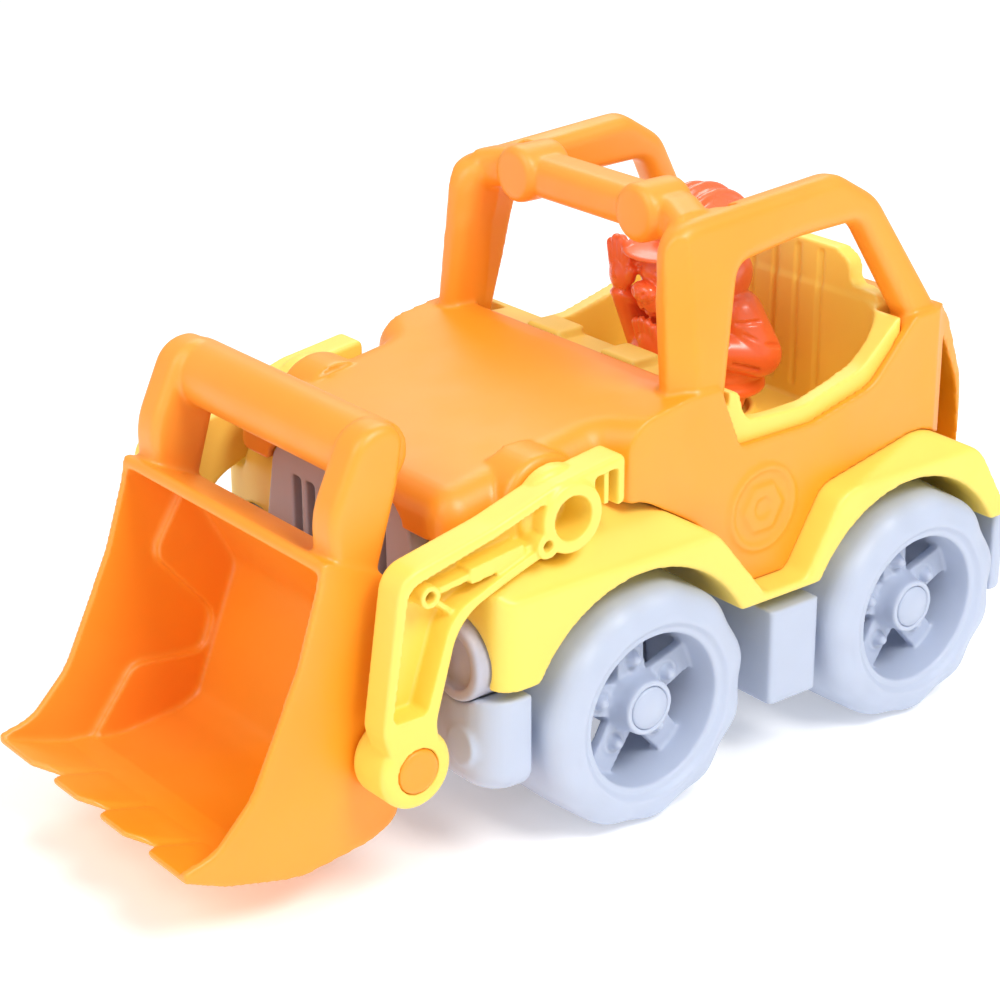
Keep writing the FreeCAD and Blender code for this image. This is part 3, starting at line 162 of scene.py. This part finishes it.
def settle(piece):
    """Apply the piece's modifiers to its mesh."""
    graph = bpy.context.evaluated_depsgraph_get()
    mesh = bpy.data.meshes.new_from_object(piece.evaluated_get(graph))
    piece.modifiers.clear()
    piece.data = mesh
    return piece


def shade_smooth(piece):
    piece.data.polygons.foreach_set("use_smooth", [True] * len(piece.data.polygons))
    piece.data.update()


def even_skin(piece, voxel, passes):
    """Rebuild a mesh as one closed skin on an even grid and soften it; the grid size is in millimetres."""
    remesh = piece.modifiers.new("even", "REMESH")
    remesh.mode = "VOXEL"
    remesh.voxel_size = voxel * MM
    smooth = piece.modifiers.new("soft", "SMOOTH")
    smooth.factor = 0.5
    smooth.iterations = passes
    return settle(piece)


def stand_in(piece, node, material):
    """Show a piece instead of its CAD node, on the same body."""
    shade_smooth(piece)
    paint(piece, material)
    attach(piece, BODY_OF[node])
    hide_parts(node)


def moulded(node, voxel, passes, shape=None):
    """A copy of a CAD piece with softly rounded edges, as a mould leaves them."""
    mesh = frame["nodes"][node].data.copy()
    piece = new_piece(node + "_moulded", mesh)
    weld = bmesh.new()
    weld.from_mesh(mesh)
    bmesh.ops.remove_doubles(weld, verts=weld.verts, dist=WELD_DISTANCE * MM)
    weld.to_mesh(mesh)
    weld.free()
    even_skin(piece, voxel, passes)
    if shape:
        shape(piece.data)
    stand_in(piece, node, finish_of(node))


def points_of(mesh):
    flat = np.empty(len(mesh.vertices) * 3)
    mesh.vertices.foreach_get("co", flat)
    return flat.reshape(-1, 3)


def eased(value, start, end):
    """0 before start, 1 after end, with a soft step between."""
    share = np.clip((value - start) / (end - start), 0, 1)
    return share * share * (3 - 2 * share)


LAMP_BAR_SHIFT = (0, 3.7, 2.0)
SEAT_FRONT_Y, SEAT_GROOVES_X, SEAT_GROOVE_ENDS = 100.3, (-19, -9.5, 0, 9.5, 19), (91, 134)
SEAT_GROOVE_WIDTH, SEAT_GROOVE_DEPTH = 1.5, 1.1


def lamp_bar_set(mesh):
    """Sets the work lamp bar a little higher and further back between the cage sides."""
    points = points_of(mesh) / MM
    between_sides = 1 - eased(np.abs(points[:, 0]), 34, 47)
    along = eased(points[:, 1], 8, 13) * (1 - eased(points[:, 1], 36, 41))
    above = eased(points[:, 2], 143, 149)
    points += np.outer(between_sides * (above * along), LAMP_BAR_SHIFT)
    mesh.vertices.foreach_set("co", (points * MM).ravel())


def pressed(mesh, paths, width, depth):
    """Press narrow grooves into a mesh along paths given in millimetres."""
    points = points_of(mesh)
    normals = np.empty(len(points) * 3)
    mesh.vertices.foreach_get("normal", normals)
    nearest = np.full(len(points), 1e9)
    for path in paths:
        for one, two in zip(path, path[1:]):
            start, run = np.array(one) * MM, (np.array(two) - np.array(one)) * MM
            share = np.clip((points - start) @ run / max(run @ run, 1e-12), 0, 1)
            apart = np.linalg.norm(points - start - share[:, None] * run, axis=1)
            nearest = np.minimum(nearest, apart)
    near = np.minimum(nearest / (width * MM), 1)
    points -= normals.reshape(-1, 3) * (depth * MM * (1 - near ** 2) ** 2)[:, None]
    mesh.vertices.foreach_set("co", points.ravel())


def seat_grooves(mesh):
    low, high = SEAT_GROOVE_ENDS
    grooves = [[(x, SEAT_FRONT_Y, low), (x, SEAT_FRONT_Y, high)] for x in SEAT_GROOVES_X]
    pressed(mesh, grooves, SEAT_GROOVE_WIDTH, SEAT_GROOVE_DEPTH)


# grid size in millimetres, then smoothing passes
moulded("body_shell", 0.8, 2, lamp_bar_set)
moulded("scoop_bucket", 0.7, 6)
moulded("fender_frame", 0.9, 9)
moulded("cockpit_tub", 0.75, 2, seat_grooves)
moulded("chassis_pan", 0.9, 2)
moulded("grille", 0.6, 2)
for side_name in ("left", "right"):
    moulded("arm_" + side_name, 0.5, 2)
    moulded("headlight_" + side_name, 0.45, 2)
    for axle_name in ("front", "rear"):
        moulded(f"hub_cap_{axle_name}_{side_name}", 0.4, 2)


def sculpt(name, build, voxel, passes):
    """One closed skin over all the shapes that build() adds."""
    shape = bmesh.new()
    build(shape)
    mesh = bpy.data.meshes.new(name)
    shape.to_mesh(mesh)
    shape.free()
    return even_skin(new_piece(name, mesh), voxel, passes)


# ---------------------------------------------------------------- wheels

# millimetres along the axle (x, from the vehicle's middle) and across it
AXLES = (("front", -7.2), ("rear", 97.2))
WHEEL_RADIUS, WHEEL_INNER, WHEEL_OUTER = 36.0, 35.0, 70.0
HUB_RADIUS, CAP_RADIUS, BORE_RADIUS = 8.0, 6.3, 2.6
SPOKE_COUNT, SPOKE_PHASE = 5, math.radians(21.4)
SPOKE_FACE, SPOKE_THICKNESS = 58.8, 3.2
SPOKE_ROOT, SPOKE_TIP = (7, 5.0), (23.2, 4.3)
LUG_CIRCLE, LUG_HALF_SIZE = 12.8, (2.3, 1.9, 1.9)
LUG_SEAT_LOW, LUG_SEAT_HIGH, LUG_SEAT_DEPTH = 3.9, 3.6, 2.4
LUG_DISH_RADIUS, LUG_DISH_WIDTH, LUG_DISH_DEPTH = 2.7, 0.55, 0.8
FACET_COUNT, FACET_DEPTH, FACET_PHASE = 11, 1.3, 0.6
CORNER_STEPS = 8
BOX_FACES = ((0, 1, 3, 2), (4, 6, 7, 5), (0, 4, 5, 1), (2, 3, 7, 6), (0, 2, 6, 4), (1, 5, 7, 3))


def rounded_outline(corners):
    """Outline points in the wheel's section; a third value on a corner is its rounding."""
    points = []
    for i, corner in enumerate(corners):
        spot = Vector(corner[:2])
        if len(corner) < 3:
            points.append(spot)
            continue
        back = Vector(corners[i - 1][:2]) - spot
        ahead = Vector(corners[(i + 1) % len(corners)][:2]) - spot
        reach = corner[2] / math.tan(back.angle(ahead) / 2)
        start, end = spot + back.normalized() * reach, spot + ahead.normalized() * reach
        for k in range(CORNER_STEPS + 1):
            t = k / CORNER_STEPS
            points.append(start * (1 - t) ** 2 + spot * 2 * t * (1 - t) + end * t * t)
    return points


def lathe(target, place, corners, around=120):
    """Turn a closed section of (x, radius) corners round the wheel's axle."""
    section = rounded_outline(corners)
    rows = []
    for i in range(around):
        a = 2 * math.pi * i / around
        ring_points = [Vector((x, r * math.cos(a), r * math.sin(a))) for x, r in section]
        rows.append([target.verts.new(place @ point) for point in ring_points])
    for i in range(around):
        here, there = rows[i], rows[(i + 1) % around]
        for j in range(len(section)):
            k = (j + 1) % len(section)
            target.faces.new((here[j], here[k], there[k], there[j]))


def spoke_turn(index):
    return SPOKE_PHASE + index * 2 * math.pi / SPOKE_COUNT


def spoke(target, turn):
    """A flat tapering plate from the hub to the rim, with a lug ball on a low round seat."""
    corners = [(x, r, side * half) for x in (SPOKE_FACE - SPOKE_THICKNESS, SPOKE_FACE)
               for r, half in (SPOKE_ROOT, SPOKE_TIP) for side in (-1, 1)]
    box = [target.verts.new(turn @ Vector(corner)) for corner in corners]
    for face in BOX_FACES:
        target.faces.new([box[index] for index in face])
    ball = turn @ Matrix.Translation((SPOKE_FACE + 1.3, LUG_CIRCLE, 0)) @ Matrix.Diagonal((*LUG_HALF_SIZE, 1))
    bmesh.ops.create_icosphere(target, subdivisions=3, radius=1, matrix=ball)
    seat = turn @ Matrix.Translation((SPOKE_FACE - 0.4, LUG_CIRCLE, 0)) @ Matrix.Rotation(math.pi / 2, 4, "Y")
    bmesh.ops.create_cone(target, cap_ends=True, segments=32, radius1=LUG_SEAT_LOW, radius2=LUG_SEAT_HIGH,
                          depth=LUG_SEAT_DEPTH, matrix=seat)


def wheel_shapes(place):
    """Tyre with a deep dish, hub barrel and spokes; sections are (x, radius, rounding)."""
    tyre = [(WHEEL_INNER, 31.5), (WHEEL_INNER, WHEEL_RADIUS, 3.5), (WHEEL_OUTER, WHEEL_RADIUS, 9.5),
            (WHEEL_OUTER, 26.4, 1.6), (67.9, 24.2, 0.8), (68.5, 23.5, 0.5), (67.9, 22.6, 0.6),
            (60, 22.0), (41, 20.4), (41, 23.0), (58, 25.0), (60, 31.5)]
    barrel = [(WHEEL_INNER, BORE_RADIUS), (61.5, BORE_RADIUS), (61.5, CAP_RADIUS), (66.2, CAP_RADIUS),
              (66.2, HUB_RADIUS, 0.8), (62, HUB_RADIUS + 0.3, 2), (58, HUB_RADIUS + 1.6),
              (WHEEL_INNER, HUB_RADIUS + 1.6)]

    def build(target):
        lathe(target, place, tyre)
        lathe(target, place, barrel)
        for i in range(SPOKE_COUNT):
            spoke(target, place @ Matrix.Rotation(spoke_turn(i), 4, "X"))
    return build


def wheel_details(mesh, place):
    """Sink soft flats into the tyre's outer shoulder, and a shallow dish round each lug."""
    back = place.inverted()
    local = points_of(mesh) @ np.array(back.to_3x3()).T + np.array(back.translation)
    radius = np.hypot(local[:, 1], local[:, 2])
    angle = np.arctan2(local[:, 2], local[:, 1])
    lobe = 0.5 + 0.5 * np.cos(FACET_COUNT * angle + FACET_PHASE)
    shoulder = eased(local[:, 0], 50, 62) * eased(radius, 25, 31)
    sink = FACET_DEPTH * (0.25 + 0.75 * lobe) * shoulder
    inward = 1 - 0.75 * sink / np.maximum(radius, 1)
    local[:, 1] *= inward
    local[:, 2] *= inward
    local[:, 0] -= 0.75 * sink
    for i in range(SPOKE_COUNT):
        lug_y, lug_z = LUG_CIRCLE * math.cos(spoke_turn(i)), LUG_CIRCLE * math.sin(spoke_turn(i))
        apart = np.hypot(local[:, 1] - lug_y, local[:, 2] - lug_z)
        dish = np.exp(-((apart - LUG_DISH_RADIUS) / LUG_DISH_WIDTH) ** 2)
        local[:, 0] -= LUG_DISH_DEPTH * dish * (local[:, 0] > SPOKE_FACE - 1)
    forth = np.array(place.to_3x3()).T
    mesh.vertices.foreach_set("co", (local @ forth + np.array(place.translation)).ravel())


for axle_name, axle_y in AXLES:
    for side_name, half_turn in (("left", 0), ("right", math.pi)):
        node = f"wheel_{axle_name}_{side_name}"
        place = Matrix.Translation((0, axle_y * MM, WHEEL_RADIUS * MM)) \
            @ Matrix.Rotation(half_turn, 4, "Z") @ Matrix.Scale(MM, 4)
        wheel = sculpt(node + "_sculpted", wheel_shapes(place), 0.6, 3)
        wheel_details(wheel.data, place)
        stand_in(wheel, node, wheel_grey)

# ---------------------------------------------------------------- driver figure

# the middle of the figure's base on the cockpit floor; shapes below are millimetres from it
FIGURE = Vector((0, 70.2, 86.2))


def ellipsoid(target, centre, radii, turn=(0, 0, 0), detail=4):
    """An egg or ball; turn is in degrees about X, Y and Z."""
    spin = Quaternion((0, 0, 1), math.radians(turn[2])).to_matrix().to_4x4() \
        @ Quaternion((0, 1, 0), math.radians(turn[1])).to_matrix().to_4x4() \
        @ Quaternion((1, 0, 0), math.radians(turn[0])).to_matrix().to_4x4()
    place = Matrix.Translation((FIGURE + Vector(centre)) * MM) @ spin
    place = place @ Matrix.Diagonal((radii[0] * MM, radii[1] * MM, radii[2] * MM, 1))
    bmesh.ops.create_icosphere(target, subdivisions=detail, radius=1, matrix=place)


def rod(target, start, end, start_radius, end_radius):
    """A round-ended tapering limb."""
    one, two = Vector(start), Vector(end)
    run = two - one
    turn = Vector((0, 0, 1)).rotation_difference(run).to_matrix().to_4x4()
    place = Matrix.Translation((FIGURE + (one + two) / 2) * MM) @ turn
    bmesh.ops.create_cone(target, cap_ends=True, segments=32, radius1=start_radius * MM,
                          radius2=end_radius * MM, depth=run.length * MM, matrix=place)
    ellipsoid(target, start, (start_radius,) * 3, detail=3)
    ellipsoid(target, end, (end_radius,) * 3, detail=3)


def ring(target, centre, radii, thickness, tilt=0.0, turn=0.0):
    """A closed band of round section around an ellipse."""
    around, across = 48, 12
    tip = Matrix.Rotation(math.radians(turn), 3, "Z") @ Matrix.Rotation(math.radians(tilt), 3, "X")
    rows = []
    for i in range(around):
        a = 2 * math.pi * i / around
        row = []
        for j in range(across):
            b = 2 * math.pi * j / across
            reach = thickness * math.cos(b)
            spot = Vector(((radii[0] + reach) * math.cos(a), (radii[1] + reach) * math.sin(a),
                           thickness * math.sin(b)))
            row.append(target.verts.new((FIGURE + Vector(centre) + tip @ spot) * MM))
        rows.append(row)
    for i in range(around):
        here, there = rows[i], rows[(i + 1) % around]
        for j in range(across):
            k = (j + 1) % across
            target.faces.new((here[j], there[j], there[k], here[k]))


def figure_shapes(target):
    # standing base, boots and trousers
    ellipsoid(target, (0, 0, 2.8), (13.6, 13.6, 3.0))
    for side in (1, -1):
        ellipsoid(target, (side * 6.4, -5.0, 5.4), (5.8, 8.6, 4.8))
        rod(target, (side * 6.6, 1.5, 6), (side * 6.2, 4, 14), 8.2, 8.6)
    # jacket: hem, belly, chest, shoulders and collar
    ellipsoid(target, (0, 5.2, 15.5), (17.4, 15.0, 10.6))
    ellipsoid(target, (0, 5.0, 10.4), (16.6, 14.6, 7.0))
    ring(target, (0, 4.8, 8.6), (15.4, 13.6), 1.8)
    ellipsoid(target, (0, 4.4, 26), (15.0, 12.4, 11.0))
    ellipsoid(target, (0, 3.4, 33.6), (13.4, 10.0, 5.8))
    ring(target, (0, 0.4, 36.6), (9.4, 8.8), 2.1, 10)
    # head, muzzle, nose, cheeks, chin, eyes, brows and ears
    ellipsoid(target, (0, 0.8, 45.6), (12.6, 12.2, 11.6))
    ellipsoid(target, (0, -10.0, 47.4), (11.2, 12.4, 8.4))
    rod(target, (0, -6.5, 44.0), (0, -18.0, 39.6), 8.6, 6.4)
    ellipsoid(target, (0, -23.2, 41.8), (4.6, 3.0, 3.3))
    ellipsoid(target, (0, -12.5, 33.6), (5.6, 5.6, 2.9))
    for side in (1, -1):
        ellipsoid(target, (side * 5.2, -13.0, 38.4), (5.4, 6.4, 5.2), (10, 0, 0))
        ellipsoid(target, (side * 4.8, -19.2, 48.2), (3.0, 2.4, 2.9))
        rod(target, (side * 2.2, -20.0, 51.2), (side * 8.0, -16.4, 50.8), 1.5, 1.4)
        ellipsoid(target, (side * 12.6, 2.6, 44), (2.7, 5.0, 7.4), (0, side * 10, 0))
    # right arm raised to the brim, open hand
    rod(target, (-11.5, 3.0, 32.0), (-13.5, -10.5, 21.0), 6.6, 5.4)
    rod(target, (-13.5, -10.5, 21.0), (-12.2, -20.2, 37.5), 5.4, 3.7)
    ring(target, (-12.3, -19.6, 36.6), (3.9, 3.9), 1.1, -28)
    ellipsoid(target, (-12.2, -21.4, 44.2), (4.6, 2.9, 5.6))
    for spread, reach in ((-3.4, 4.6), (-1.1, 6.2), (1.3, 6.4), (3.6, 5.0)):
        knuckle = (-12.2 + spread * 0.8, -21.6, 47.0)
        rod(target, knuckle, (-12.4 + spread * 0.95, -22.2, 48.4 + reach), 1.9, 1.7)
    rod(target, (-9.0, -21.0, 43.2), (-6.4, -22.4, 46.6), 1.9, 1.6)
    # left arm bent across the chest, fingers up
    rod(target, (11.5, 4.0, 32.5), (16.8, 7.4, 20.5), 7.4, 7.2)
    rod(target, (16.8, 7.4, 20.5), (9.0, -12.5, 24.0), 7.0, 4.8)
    ring(target, (9.6, -11.0, 23.8), (5.2, 5.2), 1.4, 84, 22)
    ellipsoid(target, (1.6, -18.6, 25.4), (6.6, 4.4, 6.0), (0, 0, 20))
    ellipsoid(target, (-3.0, -13.0, 18.0), (11.0, 9.6, 10.0))
    for i in range(4):
        x = -4.6 + i * 2.6
        rod(target, (x + 0.6, -20.6, 26.0), (x - 0.4, -21.6, 32.4 - abs(i - 1.4) * 0.9), 1.6, 1.45)
    rod(target, (7.0, -18.0, 27.6), (6.8, -20.0, 32.2), 1.8, 1.5)
    # hard hat: crown with three ridges, band, brim and peak
    crown = Vector((0, -0.8, 54.4))
    ellipsoid(target, crown, (14.0, 14.6, 15.0))
    for shift, height in ((-5.4, 14.0), (0, 15.0), (5.4, 14.0)):
        ridge = [crown + Vector((shift, 14.4 * math.sin(a), height * math.cos(a)))
                 for a in (math.radians(-72 + 9 * i) for i in range(17))]
        for one, two in zip(ridge, ridge[1:]):
            rod(target, one, two, 1.5, 1.5)
    ellipsoid(target, (0, -7.0, 53.4), (16.6, 18.4, 1.8))
    ellipsoid(target, (0, -16.2, 53.2), (12.6, 11.4, 1.6), (3, 0, 0))
    ring(target, (0, -0.8, 55.4), (13.9, 14.5), 1.0)


def figure_creases(piece):
    """Mouth, eyelids, nostrils, jacket front and sleeve folds."""
    def line(path, width, depth):
        pressed(piece.data, [[tuple(FIGURE + Vector(point)) for point in path]], width, depth)
    line([(0, -14.8, 32), (0, -8.6, 28), (0, -8.0, 20), (0, -9.6, 12)], 1.1, 0.9)
    line([(0, -24.6, 40.0), (0, -22.6, 36.4)], 1.1, 0.8)
    for side in (1, -1):
        line([(0, -22.4, 36.0), (side * 5.4, -18.6, 34.6), (side * 9.2, -13.4, 36.6)], 1.4, 1.1)
        line([(side * 2.4, -21.2, 48.2), (side * 4.8, -21.6, 48.0), (side * 7.2, -20.0, 47.4)], 1.0, 0.8)
        line([(side * 1.9, -25.8, 41.4), (side * 2.3, -25.6, 42.0)], 0.9, 0.7)
    line([(19.0, -1.0, 28.5), (23.4, 4.0, 26.0), (23.0, 11.0, 24.0)], 1.4, 1.1)
    line([(21.5, 3.0, 17.6), (18.0, -3.6, 20.0), (16.0, -5.0, 25.5)], 1.3, 1.0)
    line([(17.0, -1.5, 31.5), (20.4, 5.0, 32.0)], 1.2, 0.8)
    line([(14.8, -6.0, 18.0), (9.0, -11.0, 17.0), (3.0, -12.0, 15.0)], 1.3, 0.9)


driver = sculpt("driver_worker", figure_shapes, 0.5, 4)
figure_creases(driver)
stand_in(driver, "driver_figure", vinyl)

# ---------------------------------------------------------------- remaining CAD pieces

for node, piece in frame["nodes"].items():
    paint(piece, finish_of(node))

# ---------------------------------------------------------------- floor, light, camera

FLOOR_HALF = 20.0
FLOOR_WHITE, FLOOR_GLOW = (0.93, 0.93, 0.93, 1), 0.26
WORLD_STRENGTH = 0.5

floor_mesh = bpy.data.meshes.new("floor")
floor_signs = ((-1, -1), (1, -1), (1, 1), (-1, 1))
floor_mesh.from_pydata([(x * FLOOR_HALF, y * FLOOR_HALF, 0) for x, y in floor_signs], [], [(0, 1, 2, 3)])
floor = new_piece("floor", floor_mesh)
floor_look = bpy.data.materials.new("pale_floor")
floor_look.use_nodes = True
floor_shader = floor_look.node_tree.nodes["Principled BSDF"].inputs
floor_shader["Base Color"].default_value = FLOOR_WHITE
floor_shader["Roughness"].default_value = 0.9
floor_shader["Emission Color"].default_value = (1, 1, 1, 1)
floor_shader["Emission Strength"].default_value = FLOOR_GLOW
floor_mesh.materials.append(floor_look)

scene.view_settings.view_transform = "Standard"
world = bpy.data.worlds.new("studio")
scene.world = world
world.use_nodes = True
world.node_tree.nodes["Background"].inputs["Color"].default_value = (1, 1, 1, 1)
world.node_tree.nodes["Background"].inputs["Strength"].default_value = WORLD_STRENGTH


def area_light(name, place, aim, width, power):
    """A round soft box, in metres and watts."""
    lamp = bpy.data.lights.new(name, "AREA")
    lamp.shape = "DISK"
    lamp.size = width
    lamp.energy = power
    holder = bpy.data.objects.new(name, lamp)
    holder.location = place
    holder.rotation_euler = (Vector(aim) - Vector(place)).to_track_quat("-Z", "Y").to_euler()
    scene.collection.objects.link(holder)


area_light("key", (0.95, 0.05, 1.15), (0, 0, 0.08), 0.6, 12)
area_light("fill", (0.15, -1.0, 1.05), (0, 0, 0.08), 0.9, 6)
area_light("rim", (-0.7, 0.6, 1.1), (0, 0, 0.1), 0.8, 5)

CAMERA_PLACE = Vector((0.51986, -0.4180, 0.35163))
AZIMUTH, ELEVATION, ROLL = (math.radians(angle) for angle in (51.666, 22.549, -0.332))
SENSOR_WIDTH, FOCAL = 36.0, 90.07


def camera():
    """A three-quarter view from the front left, a little above the toy."""
    back = Vector((math.sin(AZIMUTH) * math.cos(ELEVATION), -math.cos(AZIMUTH) * math.cos(ELEVATION),
                   math.sin(ELEVATION)))
    level = Vector((math.cos(AZIMUTH), math.sin(AZIMUTH), 0))
    upright = back.cross(level)
    right = level * math.cos(ROLL) + upright * math.sin(ROLL)
    up = upright * math.cos(ROLL) - level * math.sin(ROLL)
    data = bpy.data.cameras.new("camera")
    data.sensor_width = SENSOR_WIDTH
    data.lens = FOCAL
    data.clip_start = 0.05
    holder = bpy.data.objects.new("camera", data)
    turn = Matrix((right, up, back)).transposed().to_4x4()
    holder.matrix_world = Matrix.Translation(CAMERA_PLACE) @ turn
    scene.collection.objects.link(holder)
    scene.camera = holder


camera()
